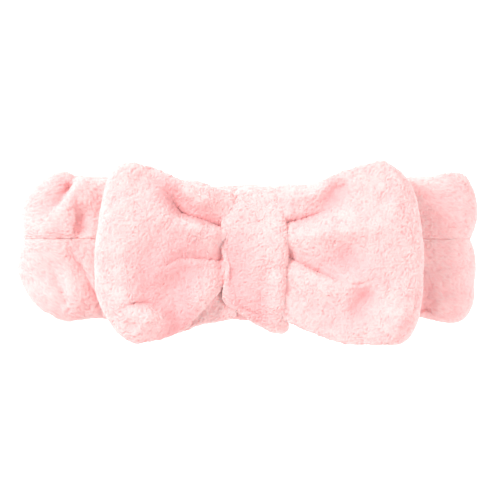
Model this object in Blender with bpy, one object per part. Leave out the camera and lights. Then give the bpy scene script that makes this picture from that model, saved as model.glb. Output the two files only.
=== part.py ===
"""A plush spa headband with a bow, lying flat: a fleece tube on an elastic loop, and a bow held by a knot.

Frame: +X to the right, +Y up the face of the band (a head goes through the loop along it), +Z off the table.
The loop is made in seven lengths, so that it can open like a ring of hinged panels. Everything is in metres.
"""

import math
from collections import namedtuple

import bmesh
import bpy

# ---- The loop, lying flat: a back half on the table, a front half over it, and a fold at each end ----
LOOP_LENGTH = 0.228  # from fold to fold
BAND_WIDTH = 0.0735  # along Y
BAND_MID_Y = 0.0035
BAND_THICK = 0.015  # each half, over the two fleece walls and the elastic
HEAD_GAP = 0.016  # between the halves at rest
CREASE_Y = 0.007  # the stitched line along the tube, a little above its middle
CREASE_THICK = 0.0062
CREASE_SHARE = 0.36  # of a lobe's width, from the crease to the flat of the lobe
EDGE_SHARE = 0.30  # of a lobe's width, from the flat of the lobe to the tube's edge
HINGE_X = 0.045  # where each half bends as the loop opens
CUT_GAP = 0.0003  # between two lengths of the tube, and between touching solids

# ---- What is sewn into the tube ----
ELASTIC_WIDTH = 0.012
ELASTIC_THICK = 0.0012
ELASTIC_ROOM = 0.00035  # the slot's clearance on each side of the elastic
THREAD_RADIUS = 0.00035
SEAM_THICK = 0.0006

# ---- The knot, a fleece wrap round the front half and the middle of the bow ----
KNOT_X = 0.0035
KNOT_WIDTH = 0.031
KNOT_THICK = 0.0035
KNOT_ROOM = 0.0005  # clearance inside the wrap
KNOT_ROUND = 0.005
WAIST_WIDTH = 0.060  # the tube where the wrap squeezes it
WAIST_THICK = 0.009
WAIST_MID_Y = -0.003
SQUEEZE_RUN = 0.020  # how far the tube takes to narrow to its waist

# ---- The bow ----
BOW_LEFT_X = -0.0755
BOW_RIGHT_X = 0.0845
BOW_HALF_HEIGHT = 0.044  # at the outer ends, along Y
NECK_HALF_HEIGHT = 0.0325  # where a loop goes into the knot
NECK_MID_Y = -0.001
NECK_THICK = 0.013
LOOP_THICK = 0.026  # the bow's loops at their thickest
LOOP_LIFT = 0.0008  # between the bow and the tube under it
CORNER_ROUND = 0.014  # the loops' outer corners, seen from the front
HOLLOW_HALF_X = 0.0155  # the space inside each loop, open along Y
HOLLOW_HALF_Z = 0.0065
HOLLOW_FROM_END = 0.0235  # from a loop's outer end to the middle of its hollow
CORE_THICK = 0.013
TIE_WIDTH = 0.004
TIE_THICK = 0.0008

# ---- Places that follow from the sizes ----
BACK_MID_Z = BAND_THICK / 2
FRONT_MID_Z = 1.5 * BAND_THICK + HEAD_GAP
FRONT_TOP_Z = 2 * BAND_THICK + HEAD_GAP
LOOP_MID_Z = FRONT_TOP_Z / 2
FOLD_RADIUS = LOOP_MID_Z - BAND_THICK / 2  # of the tube's middle, round each end
FOLD_X = LOOP_LENGTH / 2 - LOOP_MID_Z  # where the ends start to turn
WAIST_MID_Z = FRONT_TOP_Z - 0.0008 - WAIST_THICK / 2
CORE_BOTTOM = WAIST_MID_Z + WAIST_THICK / 2 + KNOT_ROOM
CORE_TOP = CORE_BOTTOM + CORE_THICK
KNOT_HOLE_BOTTOM = WAIST_MID_Z - WAIST_THICK / 2 - KNOT_ROOM
KNOT_HOLE_TOP = CORE_TOP + KNOT_ROOM
LOOP_BOTTOM = FRONT_TOP_Z + LOOP_LIFT
NECK_MID_Z = LOOP_BOTTOM + NECK_THICK / 2

FLEECE = ("fleece", (0.93, 0.66, 0.65), 0.95)
ELASTIC = ("elastic", (0.93, 0.92, 0.90), 0.7)
THREAD = ("thread", (0.90, 0.62, 0.62), 0.6)

SIDE_NAMES = {-1: "left", 1: "right"}
# How far along a lobe, from the crease at 0 to the tube's edge at 1, its outline has points.
LOBE_POINTS = [0, 0.03, 0.09, 0.2, 0.36, 0.53, 0.7, 0.82, 0.91, 0.97, 1]

# A place along the tube: its middle in X and Z, the way its outer face looks, and the size of its section.
Station = namedtuple("Station", "x z out_x out_z width thick mid_y")


def clear_scene():
    for obj in list(bpy.data.objects):
        bpy.data.objects.remove(obj)


def material(look):
    name, colour, roughness = look
    found = bpy.data.materials.get(name)
    if found:
        return found
    made = bpy.data.materials.new(name)
    made.use_nodes = True
    shader = made.node_tree.nodes["Principled BSDF"]
    shader.inputs["Base Color"].default_value = (*colour, 1)
    shader.inputs["Roughness"].default_value = roughness
    shader.inputs["Metallic"].default_value = 0
    return made


def smoothstep(t):
    t = min(1, max(0, t))
    return t * t * (3 - 2 * t)


def add_object(name, bm, look, origin=(0, 0, 0)):
    """The mesh as a named object with its origin at the given point."""
    bmesh.ops.recalc_face_normals(bm, faces=bm.faces)
    bmesh.ops.translate(bm, verts=bm.verts, vec=[-c for c in origin])
    mesh = bpy.data.meshes.new(name)
    bm.to_mesh(mesh)
    bm.free()
    mesh.shade_smooth()
    mesh.set_sharp_from_angle(angle=math.radians(50))
    mesh.materials.append(material(look))
    obj = bpy.data.objects.new(name, mesh)
    obj.location = origin
    bpy.context.scene.collection.objects.link(obj)
    return obj


def loft(name, rings, look, holes=None, origin=(0, 0, 0)):
    """A closed solid with its skin through the rings of points, and a tunnel through the holes if any."""
    bm = bmesh.new()

    def skin(loops):
        made = [[bm.verts.new(point) for point in loop] for loop in loops]
        for first, second in zip(made, made[1:]):
            count = len(first)
            for i in range(count):
                j = (i + 1) % count
                bm.faces.new((first[i], first[j], second[j], second[i]))
        return made

    outer = skin(rings)
    inner = skin(holes) if holes else None
    for end in (0, -1):
        if inner is None:
            bm.faces.new(outer[end])
            continue
        count = len(outer[end])
        for i in range(count):
            j = (i + 1) % count
            bm.faces.new((outer[end][i], outer[end][j], inner[end][j], inner[end][i]))
    return add_object(name, bm, look, origin)


# ---- Sections of the tube ----


def lobe_height(share, thick):
    """Half the tube's thickness, from the crease at 0, over the puffed lobe, to the edge at 1."""
    rise = min(1, share / CREASE_SHARE)
    fall = min(1, (1 - share) / EDGE_SHARE)
    crease = CREASE_THICK / 2 * min(1, thick / BAND_THICK + 0.2)
    up = crease + (thick / 2 - crease) * (1 - (1 - rise) ** 2) ** 0.7
    return min(up, thick / 2 * math.sqrt(1 - (1 - fall) ** 2))


def tube_outline(station):
    """The tube's outline round its two lobes, as (y, height over the tube's middle)."""
    top = station.mid_y + station.width / 2
    bottom = station.mid_y - station.width / 2
    crease = crease_y(station)
    upper = [(crease + s * (top - crease), lobe_height(s, station.thick)) for s in LOBE_POINTS]
    lower = [(crease + s * (bottom - crease), lobe_height(s, station.thick)) for s in LOBE_POINTS]
    right = upper + [(y, -n) for y, n in reversed(upper[:-1])]
    left = lower + [(y, -n) for y, n in reversed(lower[:-1])]
    return right + list(reversed(left[1:-1]))


def crease_y(station):
    """The crease keeps its share of the tube's width where the tube narrows."""
    return station.mid_y + (CREASE_Y - BAND_MID_Y) * station.width / BAND_WIDTH


def slot_outline(station, outline):
    """The elastic's slot, with one point for each of the outline's, as a cap joins them one to one."""
    half_width = ELASTIC_WIDTH / 2 + ELASTIC_ROOM
    half_thick = ELASTIC_THICK / 2 + ELASTIC_ROOM
    middle = crease_y(station)
    reach = {
        1: station.mid_y + station.width / 2 - middle,
        -1: middle - station.mid_y + station.width / 2,
    }
    points = []
    for y, n in outline:
        side = 1 if y >= middle else -1
        away = abs(y - middle)
        sign = 1 if n >= 0 else -1
        if away < half_width:
            points.append((y, sign * half_thick))
        else:
            left = (reach[side] - away) / (reach[side] - half_width)
            points.append((middle + side * half_width, sign * half_thick * left))
    return points


def at(station, y, n):
    """A section point's place: n is the height over the tube's middle, towards its outer face."""
    return (station.x + station.out_x * n, y, station.z + station.out_z * n)


def straight(x, front, width=BAND_WIDTH, thick=BAND_THICK, mid_y=BAND_MID_Y, z=None):
    side = 1 if front else -1
    middle = z if z is not None else (FRONT_MID_Z if front else BACK_MID_Z)
    return Station(x, middle, 0, side, width, thick, mid_y)


def turned(side, degrees):
    """A station round an end fold: 0 degrees is under the fold, 90 at its tip and 180 over it."""
    a = math.radians(degrees)
    out_x, out_z = side * math.sin(a), -math.cos(a)
    x = side * FOLD_X + FOLD_RADIUS * out_x
    z = LOOP_MID_Z + FOLD_RADIUS * out_z
    return Station(x, z, out_x, out_z, BAND_WIDTH, BAND_THICK, BAND_MID_Y)


def squeezed(x):
    """A station of the front half, narrowed where the knot holds it."""
    beside = abs(x - KNOT_X) - KNOT_WIDTH / 2 - KNOT_ROOM
    full = smoothstep(beside / SQUEEZE_RUN)

    def between(waist, band):
        return waist + (band - waist) * full

    return straight(
        x,
        True,
        width=between(WAIST_WIDTH, BAND_WIDTH),
        thick=between(WAIST_THICK, BAND_THICK),
        mid_y=between(WAIST_MID_Y, BAND_MID_Y),
        z=between(WAIST_MID_Z, FRONT_MID_Z),
    )


def fold_stations(side, upper):
    """A wing of the loop, from the bend at HINGE_X out to the tip of the fold."""
    inner_radius = FOLD_RADIUS - BAND_THICK / 2
    gap_angle = math.degrees(math.asin(CUT_GAP / 2 / inner_radius))
    first = side * (HINGE_X + CUT_GAP / 2)
    angles = [15, 30, 45, 60, 75, 90 - gap_angle]
    if upper:
        angles = [180 - a for a in angles]
    return [straight(first, upper), straight(side * FOLD_X, upper)] + [turned(side, a) for a in angles]


def front_stations(side):
    """The front half from the closing seam, inside the knot, out to the bend on one side."""
    seam = KNOT_X + side * (SEAM_THICK / 2 + CUT_GAP)
    edge = KNOT_X + side * (KNOT_WIDTH / 2 + KNOT_ROOM)
    last = side * (HINGE_X - CUT_GAP / 2)
    run = [edge + side * SQUEEZE_RUN * share for share in (0, 0.25, 0.5, 0.75, 1)]
    return [squeezed(x) for x in [seam, *[x for x in run if abs(x) < abs(last)], last]]


def make_tube_length(name, stations):
    """One length of the fleece tube, with the elastic in its slot and a row of stitches on each face."""
    outlines = [tube_outline(s) for s in stations]
    rings = [[at(s, y, n) for y, n in outline] for s, outline in zip(stations, outlines)]
    holes = [[at(s, y, n) for y, n in slot_outline(s, o)] for s, o in zip(stations, outlines)]
    loft(f"band_{name}", rings, FLEECE, holes)

    w, t = ELASTIC_WIDTH / 2, ELASTIC_THICK / 2
    strip = [(-w, -t), (w, -t), (w, t), (-w, t)]
    loft(f"elastic_{name}", [[at(s, crease_y(s) + y, n) for y, n in strip] for s in stations], ELASTIC)

    for face, side in (("outer", 1), ("inner", -1)):
        rings = []
        for s in stations:
            over = side * (lobe_height(0, s.thick) + CUT_GAP + THREAD_RADIUS)
            corners = [math.radians(60 * i) for i in range(6)]
            ring = [
                at(s, crease_y(s) + THREAD_RADIUS * math.cos(a), over + THREAD_RADIUS * math.sin(a))
                for a in corners
            ]
            rings.append(ring)
        loft(f"stitches_{name}_{face}", rings, THREAD)


def make_loop():
    back = [straight(side * (HINGE_X - CUT_GAP / 2), False) for side in (-1, 1)]
    make_tube_length("back", back)
    for side, word in SIDE_NAMES.items():
        make_tube_length(f"{word}_back", fold_stations(side, False))
        make_tube_length(f"{word}_front", fold_stations(side, True))
        make_tube_length(f"front_{word}", front_stations(side))


# ---- The knot ----


def box_outline(low_y, high_y, low_z, high_z, radius):
    """A rectangle with round corners, as (y, z)."""
    centres = [
        (high_y - radius, high_z - radius, 0),
        (low_y + radius, high_z - radius, 90),
        (low_y + radius, low_z + radius, 180),
        (high_y - radius, low_z + radius, 270),
    ]
    points = []
    for y, z, start in centres:
        for step in range(5):
            a = math.radians(start + 22.5 * step)
            points.append((y + radius * math.cos(a), z + radius * math.sin(a)))
    return points


def knot_hole(grow=0.0):
    """The inside of the wrap, or with grow a rounder outline that far outside it."""
    half = WAIST_WIDTH / 2 + KNOT_ROOM + grow
    return box_outline(
        WAIST_MID_Y - half,
        WAIST_MID_Y + half,
        KNOT_HOLE_BOTTOM - grow,
        KNOT_HOLE_TOP + grow,
        KNOT_ROUND - KNOT_ROOM + grow,
    )


def make_knot():
    """The wrap, and the row of hand stitches that closes it inside the loop."""
    half = KNOT_WIDTH / 2
    edge = KNOT_THICK * 0.4
    rings, holes = [], []
    for x, grow in ((-half, -edge), (edge - half, 0), (half - edge, 0), (half, -edge)):
        rings.append([(KNOT_X + x, y, z) for y, z in knot_hole(KNOT_THICK + grow)])
        holes.append([(KNOT_X + x, y, z) for y, z in knot_hole()])
    loft("knot_wrap", rings, FLEECE, holes)

    under = KNOT_HOLE_BOTTOM - KNOT_THICK - CUT_GAP - THREAD_RADIUS
    rings = []
    for x in (-half + 2 * edge, half - 2 * edge):
        corners = [math.radians(60 * i) for i in range(6)]
        ring = [
            (KNOT_X + x, WAIST_MID_Y + THREAD_RADIUS * math.cos(a), under + THREAD_RADIUS * math.sin(a))
            for a in corners
        ]
        rings.append(ring)
    loft("knot_closing_stitches", rings, THREAD)


def make_closing_seam():
    """The tube's two ends are sewn together inside the knot, through this seam."""
    rings = []
    for x in (-SEAM_THICK / 2, SEAM_THICK / 2):
        station = squeezed(KNOT_X + x)
        inset = station._replace(width=station.width * 0.94, thick=station.thick * 0.9)
        rings.append([at(inset, y, n) for y, n in tube_outline(inset)])
    loft("closing_seam", rings, FLEECE)


# ---- The bow ----


def core_outline(shrink=0.0):
    half = WAIST_WIDTH / 2 - shrink
    return box_outline(
        WAIST_MID_Y - half, WAIST_MID_Y + half, CORE_BOTTOM + shrink, CORE_TOP - shrink, KNOT_ROUND - shrink
    )


def make_bow_core():
    """The gathered middle of the bow inside the knot, and the thread that gathers it."""
    groove = TIE_THICK + 2 * CUT_GAP
    half_tie = TIE_WIDTH / 2 + CUT_GAP
    half = KNOT_WIDTH / 2 - KNOT_THICK / 2
    profile = [
        (-half, 0),
        (-half_tie - groove, 0),
        (-half_tie, groove),
        (half_tie, groove),
        (half_tie + groove, 0),
        (half, 0),
    ]
    rings = [[(KNOT_X + x, y, z) for y, z in core_outline(inset)] for x, inset in profile]
    loft("bow_core", rings, FLEECE)

    rings, holes = [], []
    for x in (-TIE_WIDTH / 2, TIE_WIDTH / 2):
        rings.append([(KNOT_X + x, y, z) for y, z in core_outline(groove - CUT_GAP - TIE_THICK)])
        holes.append([(KNOT_X + x, y, z) for y, z in core_outline(groove - CUT_GAP)])
    loft("bow_gathering_tie", rings, THREAD, holes)


def hinge_x(side):
    """The line that a bow loop bends about, at its neck beside the knot."""
    return KNOT_X + side * (KNOT_WIDTH / 2 + CUT_GAP + NECK_THICK / 2)


def loop_section(side, x, end_x):
    """A bow loop's outline at x: it opens out from its neck, and closes round at its outer end."""
    radius = NECK_THICK / 2
    out = side * (x - hinge_x(side))
    length = side * (end_x - hinge_x(side))
    grown = smoothstep(out / (0.62 * length))
    to_end = max(0.0, 1 - (length - out) / (LOOP_THICK / 2))
    to_corner = max(0.0, 1 - (length - out) / CORNER_ROUND)
    if out < 0:
        half_z = math.sqrt(max(0.0, radius**2 - out**2))
    else:
        half_z = radius + (LOOP_THICK / 2 - radius) * grown
    half_z *= math.sqrt(max(0.0, 1 - to_end**2))
    middle_z = NECK_MID_Z + (LOOP_THICK / 2 - radius) * grown
    half_y = NECK_HALF_HEIGHT + (BOW_HALF_HEIGHT - NECK_HALF_HEIGHT) * grown
    half_y -= CORNER_ROUND * (1 - math.sqrt(max(0.0, 1 - to_corner**2)))
    middle_y = NECK_MID_Y * (1 - grown)
    points = []
    for step in range(24):
        a = math.radians(15 * step)
        # An ellipse flattened towards a box, so that the loop is a puffed slab and not a disc.
        y = math.copysign(abs(math.cos(a)) ** 0.55, math.cos(a))
        z = math.copysign(abs(math.sin(a)) ** 0.75, math.sin(a))
        points.append((x, middle_y + half_y * y, middle_z + half_z * z))
    return points


def make_bow_loop(side, end_x):
    """One loop of the bow, hollow through along Y, turning about the line at its neck."""
    name = f"bow_{SIDE_NAMES[side]}_loop"
    start = hinge_x(side)
    radius = NECK_THICK / 2
    length = side * (end_x - start)
    steps = [-0.97 * radius, -0.8 * radius, -0.5 * radius, 0]
    steps += [length * share for share in (0.1, 0.2, 0.3, 0.4, 0.5, 0.62)]
    steps += [length - LOOP_THICK / 2 * share for share in (1, 0.8, 0.6, 0.4, 0.25, 0.12, 0.03)]
    rings = [loop_section(side, start + side * step, end_x) for step in steps]
    pivot = (start, 0, NECK_MID_Z)
    loop = loft(name, rings, FLEECE, origin=pivot)

    hollow = bmesh.new()
    bmesh.ops.create_cone(
        hollow, cap_ends=True, segments=20, radius1=1, radius2=1, depth=4 * BOW_HALF_HEIGHT
    )
    for v in hollow.verts:
        x, y, z = v.co
        v.co = (x * HOLLOW_HALF_X, z, y * HOLLOW_HALF_Z)
    middle_z = LOOP_BOTTOM + LOOP_THICK / 2
    centre = (end_x - side * HOLLOW_FROM_END, 0, middle_z)
    bmesh.ops.translate(hollow, verts=hollow.verts, vec=centre)
    cutter = add_object(f"{name}_cutter", hollow, FLEECE)
    cutter.hide_render = True
    cutter.display_type = "WIRE"
    cut = loop.modifiers.new("hollow", "BOOLEAN")
    cut.operation = "DIFFERENCE"
    cut.object = cutter


def main():
    clear_scene()
    make_loop()
    make_closing_seam()
    make_knot()
    make_bow_core()
    make_bow_loop(-1, BOW_LEFT_X)
    make_bow_loop(1, BOW_RIGHT_X)


main()
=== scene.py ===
import itertools
import math

import bmesh
import bpy
import numpy as np
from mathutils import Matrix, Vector


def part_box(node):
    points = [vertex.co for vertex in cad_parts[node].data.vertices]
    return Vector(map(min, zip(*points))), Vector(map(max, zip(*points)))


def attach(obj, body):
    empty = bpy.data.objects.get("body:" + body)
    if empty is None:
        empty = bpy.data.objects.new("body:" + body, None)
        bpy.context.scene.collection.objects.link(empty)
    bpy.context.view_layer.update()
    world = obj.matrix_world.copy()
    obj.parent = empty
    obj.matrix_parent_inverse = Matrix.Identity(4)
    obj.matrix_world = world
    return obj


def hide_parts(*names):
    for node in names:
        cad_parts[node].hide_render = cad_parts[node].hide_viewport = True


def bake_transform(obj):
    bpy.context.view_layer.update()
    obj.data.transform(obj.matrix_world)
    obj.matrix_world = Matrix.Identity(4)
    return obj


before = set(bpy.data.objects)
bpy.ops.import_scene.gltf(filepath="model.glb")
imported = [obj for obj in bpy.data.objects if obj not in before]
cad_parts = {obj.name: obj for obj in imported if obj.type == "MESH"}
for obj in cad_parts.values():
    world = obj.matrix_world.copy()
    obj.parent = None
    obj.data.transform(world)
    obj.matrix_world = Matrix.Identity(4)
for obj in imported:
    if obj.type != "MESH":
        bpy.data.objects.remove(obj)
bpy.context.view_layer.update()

# ---- The studio ----
# A white table under the headband, a broad window of light from the upper left, and white walls all round.
# The camera hangs straight over the table.

view = bpy.context.scene.view_settings
view.view_transform = "Standard"
view.look = "None"

LENS = 0.1728
SENSOR = 0.036
CAMERA_PLACE = (0.0005, 0.0015, 1.223)
TABLE_HALF = 3
TABLE_GAP = 0.0005

lens = bpy.data.cameras.new("camera")
lens.lens = LENS * 1000
lens.sensor_width = SENSOR * 1000
camera = bpy.data.objects.new("camera", lens)
camera.location = CAMERA_PLACE
bpy.context.scene.collection.objects.link(camera)
bpy.context.scene.camera = camera


def soft_light(name, place, size, watts):
    lamp = bpy.data.lights.new(name, "AREA")
    lamp.size = size
    lamp.energy = watts
    found = bpy.data.objects.new(name, lamp)
    found.location = place
    found.rotation_euler = (-Vector(place)).to_track_quat("-Z", "Y").to_euler()
    bpy.context.scene.collection.objects.link(found)


soft_light("window", (-1.3, 0.95, 1.3), 0.9, 40)
soft_light("bounce", (0.9, -0.5, 1.2), 1.2, 11)

world = bpy.data.worlds.new("white_room")
world.use_nodes = True
world.node_tree.nodes["Background"].inputs["Color"].default_value = (1, 1, 1, 1)
world.node_tree.nodes["Background"].inputs["Strength"].default_value = 0.78
bpy.context.scene.world = world

shape = bmesh.new()
bmesh.ops.create_grid(shape, x_segments=1, y_segments=1, size=TABLE_HALF)
floor_mesh = bpy.data.meshes.new("table_top")
shape.to_mesh(floor_mesh)
shape.free()
floor = bpy.data.objects.new("table_top", floor_mesh)
floor.location = (0, 0, -TABLE_GAP)
bpy.context.scene.collection.objects.link(floor)
paper = bpy.data.materials.new("white_paper")
paper.use_nodes = True
surface = paper.node_tree.nodes["Principled BSDF"]
surface.inputs["Base Color"].default_value = (0.95, 0.95, 0.95, 1)
surface.inputs["Roughness"].default_value = 0.9
surface.inputs["Emission Color"].default_value = (1, 1, 1, 1)
surface.inputs["Emission Strength"].default_value = 0.5
floor_mesh.materials.append(paper)


# ---- The band ----
# A fleece tube sewn along its middle to an elastic inside it, so it puffs into two channels and gathers in
# places. It lies flat as a loop, with a fold at each end, and the bow's knot squeezes its front half.


def fleece_material():
    """Coral fleece: pale tips, deeper pink between the tufts, a soft sheen, and painted shade, deeper pink,
    in folds and in shadows.
    """
    made = bpy.data.materials.new("pink_fleece")
    made.use_nodes = True
    nodes, links = made.node_tree.nodes, made.node_tree.links
    cloth = nodes["Principled BSDF"]
    cloth.inputs["Roughness"].default_value = 0.95
    cloth.inputs["Specular IOR Level"].default_value = 0.15
    cloth.inputs["Sheen Weight"].default_value = 0.35
    cloth.inputs["Sheen Roughness"].default_value = 0.6
    cloth.inputs["Sheen Tint"].default_value = (1.0, 0.86, 0.85, 1)
    cloth.inputs["Subsurface Weight"].default_value = 0.4
    cloth.inputs["Subsurface Radius"].default_value = (1.0, 0.42, 0.38)
    cloth.inputs["Subsurface Scale"].default_value = 0.003

    place = nodes.new("ShaderNodeTexCoord").outputs["Object"]
    tuft = nodes.new("ShaderNodeAttribute")
    tuft.attribute_name = "pile"

    strands = nodes.new("ShaderNodeTexNoise")
    strands.noise_type = "RIDGED_MULTIFRACTAL"
    strands.normalize = True
    strands.inputs["Scale"].default_value = 850
    strands.inputs["Detail"].default_value = 1.5
    strands.inputs["Distortion"].default_value = 1.6
    links.new(place, strands.inputs["Vector"])
    depth = nodes.new("ShaderNodeMix")
    depth.data_type = "FLOAT"
    depth.inputs["Factor"].default_value = 0.45
    links.new(tuft.outputs["Fac"], depth.inputs["A"])
    links.new(strands.outputs["Fac"], depth.inputs["B"])

    # Painted shade: an attribute that turns the fleece deeper pink where folds sink and below the knot.
    painted_shade = nodes.new("ShaderNodeAttribute")
    painted_shade.attribute_name = "painted_shade"
    unshaded_share = nodes.new("ShaderNodeMapRange")
    unshaded_share.inputs["To Min"].default_value = 1.0
    unshaded_share.inputs["To Max"].default_value = 0.0
    links.new(painted_shade.outputs["Fac"], unshaded_share.inputs["Value"])
    shaded_pile_tone = nodes.new("ShaderNodeMath")
    shaded_pile_tone.operation = "MULTIPLY"
    links.new(depth.outputs["Result"], shaded_pile_tone.inputs[0])
    links.new(unshaded_share.outputs["Result"], shaded_pile_tone.inputs[1])

    # The deep pink here is the dye between the tufts, and also painted shade in folds and below the knot.
    dye = nodes.new("ShaderNodeMix")
    dye.data_type = "RGBA"
    dye.inputs["A"].default_value = (0.85, 0.41, 0.415, 1)
    dye.inputs["B"].default_value = (0.845, 0.66, 0.635, 1)
    links.new(shaded_pile_tone.outputs["Value"], dye.inputs["Factor"])

    patches = nodes.new("ShaderNodeTexNoise")
    patches.inputs["Scale"].default_value = 70
    patches.inputs["Detail"].default_value = 3
    links.new(place, patches.inputs["Vector"])
    patch_range = nodes.new("ShaderNodeMapRange")
    patch_range.inputs["From Min"].default_value = 0.3
    patch_range.inputs["From Max"].default_value = 0.7
    patch_range.inputs["To Max"].default_value = 0.15
    links.new(patches.outputs["Fac"], patch_range.inputs["Value"])
    faded = nodes.new("ShaderNodeMix")
    faded.data_type = "RGBA"
    faded.inputs["B"].default_value = (0.85, 0.67, 0.64, 1)
    links.new(patch_range.outputs["Result"], faded.inputs["Factor"])
    links.new(dye.outputs["Result"], faded.inputs["A"])
    links.new(faded.outputs["Result"], cloth.inputs["Base Color"])

    fibres = nodes.new("ShaderNodeTexNoise")
    fibres.inputs["Scale"].default_value = 1900
    fibres.inputs["Detail"].default_value = 2
    fibres.inputs["Distortion"].default_value = 1.0
    links.new(place, fibres.inputs["Vector"])
    nap = nodes.new("ShaderNodeMix")
    nap.data_type = "FLOAT"
    nap.inputs["Factor"].default_value = 0.4
    links.new(strands.outputs["Fac"], nap.inputs["A"])
    links.new(fibres.outputs["Fac"], nap.inputs["B"])
    bump = nodes.new("ShaderNodeBump")
    bump.inputs["Strength"].default_value = 0.6
    bump.inputs["Distance"].default_value = 0.0006
    links.new(nap.outputs["Result"], bump.inputs["Height"])
    links.new(bump.outputs["Normal"], cloth.inputs["Normal"])
    return made


fleece = fleece_material()


def smooth(t):
    t = np.clip(t, 0, 1)
    return t * t * (3 - 2 * t)


def grid_piece(name, along, around, place, closed_along):
    """A skin made from a grid whose two directions, each from 0 to 1, are placed by a function of both."""
    shape = bmesh.new()
    bmesh.ops.create_grid(shape, x_segments=along, y_segments=around, size=0.5)
    flat = np.array([v.co for v in shape.verts])
    placed = place(flat[:, 0] + 0.5, flat[:, 1] + 0.5)
    for v, co in zip(shape.verts, placed):
        v.co = co
    bmesh.ops.remove_doubles(shape, verts=shape.verts, dist=1e-6)
    if not closed_along:
        edges = [e for e in shape.edges if e.is_boundary]
        bmesh.ops.holes_fill(shape, edges=edges, sides=0)
    bmesh.ops.recalc_face_normals(shape, faces=shape.faces)
    mesh = bpy.data.meshes.new(name)
    shape.to_mesh(mesh)
    shape.free()
    made = bpy.data.objects.new(name, mesh)
    bpy.context.scene.collection.objects.link(made)
    return made


def from_line(x, y, line, widths):
    """How far points lie from a line of (x, y, depth), as a share of the width there, and the depth there.

    widths are those left and right of the line: one number, or one for each of its points.
    """
    nearest, place, left = np.full(len(x), 1e9), np.zeros(len(x)), np.zeros(len(x), bool)
    for i, ((ax, ay, _), (bx, by, _)) in enumerate(zip(line, line[1:])):
        run_x, run_y = bx - ax, by - ay
        t = np.clip(((x - ax) * run_x + (y - ay) * run_y) / (run_x**2 + run_y**2), 0, 1)
        away = np.hypot(x - ax - t * run_x, y - ay - t * run_y)
        closer = away < nearest
        nearest = np.where(closer, away, nearest)
        place = np.where(closer, i + t, place)
        left = np.where(closer, run_x * (y - ay) - run_y * (x - ax) > 0, left)
    stops = range(len(line))
    left_width, right_width = (np.interp(place, stops, np.broadcast_to(w, len(line))) for w in widths)
    return nearest / np.where(left, left_width, right_width), np.interp(place, stops, [p[2] for p in line])


def folds(x, y, lines):
    """How far folded cloth is pushed in: a sharp valley with a round shoulder on each side of each line."""
    total = np.zeros(len(x))
    for left_width, right_width, line in lines:
        away, depth = from_line(x, y, line, (left_width, right_width))
        total = np.maximum(total, depth * (1 - np.sqrt(1 - (1 - np.clip(away, 0, 1)) ** 2)))
    return total


def hollows(x, y, lines):
    """How far cloth sinks softly on each side of each line, or swells where a depth is negative."""
    total = np.zeros(len(x))
    for left_width, right_width, line in lines:
        away, depth = from_line(x, y, line, (left_width, right_width))
        total += depth * np.exp(-(away**2))
    return total


HASH = np.random.default_rng(11).permutation(256)
SLOPES = np.random.default_rng(12).normal(size=(256, 3))
SLOPES /= np.linalg.norm(SLOPES, axis=1)[:, None]


def ripple(points, size):
    """Smooth noise, mostly between -0.5 and 0.5, with hills of about that size."""
    grid = points / size
    cell = np.floor(grid).astype(int)
    part = grid - cell
    ease = part**3 * (part * (part * 6 - 15) + 10)
    total = np.zeros(len(grid))
    for corner in itertools.product((0, 1), repeat=3):
        x, y, z = ((cell + corner) & 255).T
        slope = SLOPES[HASH[(HASH[(HASH[x] + y) & 255] + z) & 255]]
        total += np.where(corner, ease, 1 - ease).prod(axis=1) * ((part - corner) * slope).sum(axis=1)
    return total


def read(curve, at):
    """A curve of listed (place, value) points, read at the given places with its corners rounded off."""
    places, values = zip(*sorted(curve))
    return sum(np.interp(at + shift, places, values) for shift in (-0.003, -0.0015, 0, 0.0015, 0.003)) / 5


LOOP_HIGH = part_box("band_right_front")[1]
BAND_TOP_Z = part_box("band_left_front")[1].z
BAND_MID_Z = BAND_TOP_Z / 2
TUBE_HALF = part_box("band_back")[1].z / 2
TURN_RADIUS = BAND_MID_Z - TUBE_HALF
STRAIGHT_HALF = LOOP_HIGH.x - BAND_MID_Z
STITCH_Y = (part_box("stitches_back_outer")[0].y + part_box("stitches_back_outer")[1].y) / 2
KNOT_LOW, KNOT_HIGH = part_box("knot_wrap")
KNOT_MID_X = (KNOT_LOW.x + KNOT_HIGH.x) / 2

# The tube's upper and lower edge along x, on the front half with the two folds, and on the back half.
FRONT_UPPER = [
    (-0.1142, 0.0250), (-0.1120, 0.0290), (-0.1100, 0.0318), (-0.1061, 0.0331), (-0.1021, 0.0360),
    (-0.0982, 0.0375), (-0.0943, 0.0395), (-0.0903, 0.0405), (-0.0864, 0.0390), (-0.0785, 0.0380),
    (-0.0500, 0.0370), (-0.0250, 0.0342), (0.0260, 0.0340), (0.0500, 0.0365), (0.0874, 0.0375),
    (0.0953, 0.0390), (0.1031, 0.0395), (0.1090, 0.0385), (0.1130, 0.0355), (0.1142, 0.0320),
]
FRONT_LOWER = [
    (-0.1142, -0.0110), (-0.1120, -0.0160), (-0.1100, -0.0192), (-0.1061, -0.0247), (-0.1021, -0.0271),
    (-0.0982, -0.0291), (-0.0943, -0.0321), (-0.0903, -0.0332), (-0.0785, -0.0330), (-0.0250, -0.0335),
    (0.0260, -0.0335), (0.0874, -0.0326), (0.0953, -0.0335), (0.1031, -0.0337), (0.1095, -0.0320),
    (0.1130, -0.0280), (0.1142, -0.0230),
]
BACK_UPPER = [(-0.0900, 0.0395), (-0.0600, 0.0385), (-0.0250, 0.0348), (0.0300, 0.0346), (0.0700, 0.0385)]
BACK_LOWER = [
    (-0.0900, -0.0325), (-0.0250, -0.0350), (-0.0110, -0.0372), (0.0030, -0.0374), (0.0300, -0.0350),
    (0.0900, -0.0325),
]

# How far the right fold is drawn in, up its height.
RIGHT_DRAWN_IN = [
    (-0.0260, 0.0), (-0.0200, 0.0008), (-0.0165, 0.0026), (-0.0120, 0.0014), (-0.0030, 0.0012),
    (0.0035, 0.0020), (0.0070, 0.0030), (0.0110, 0.0016), (0.0180, 0.0),
]

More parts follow.
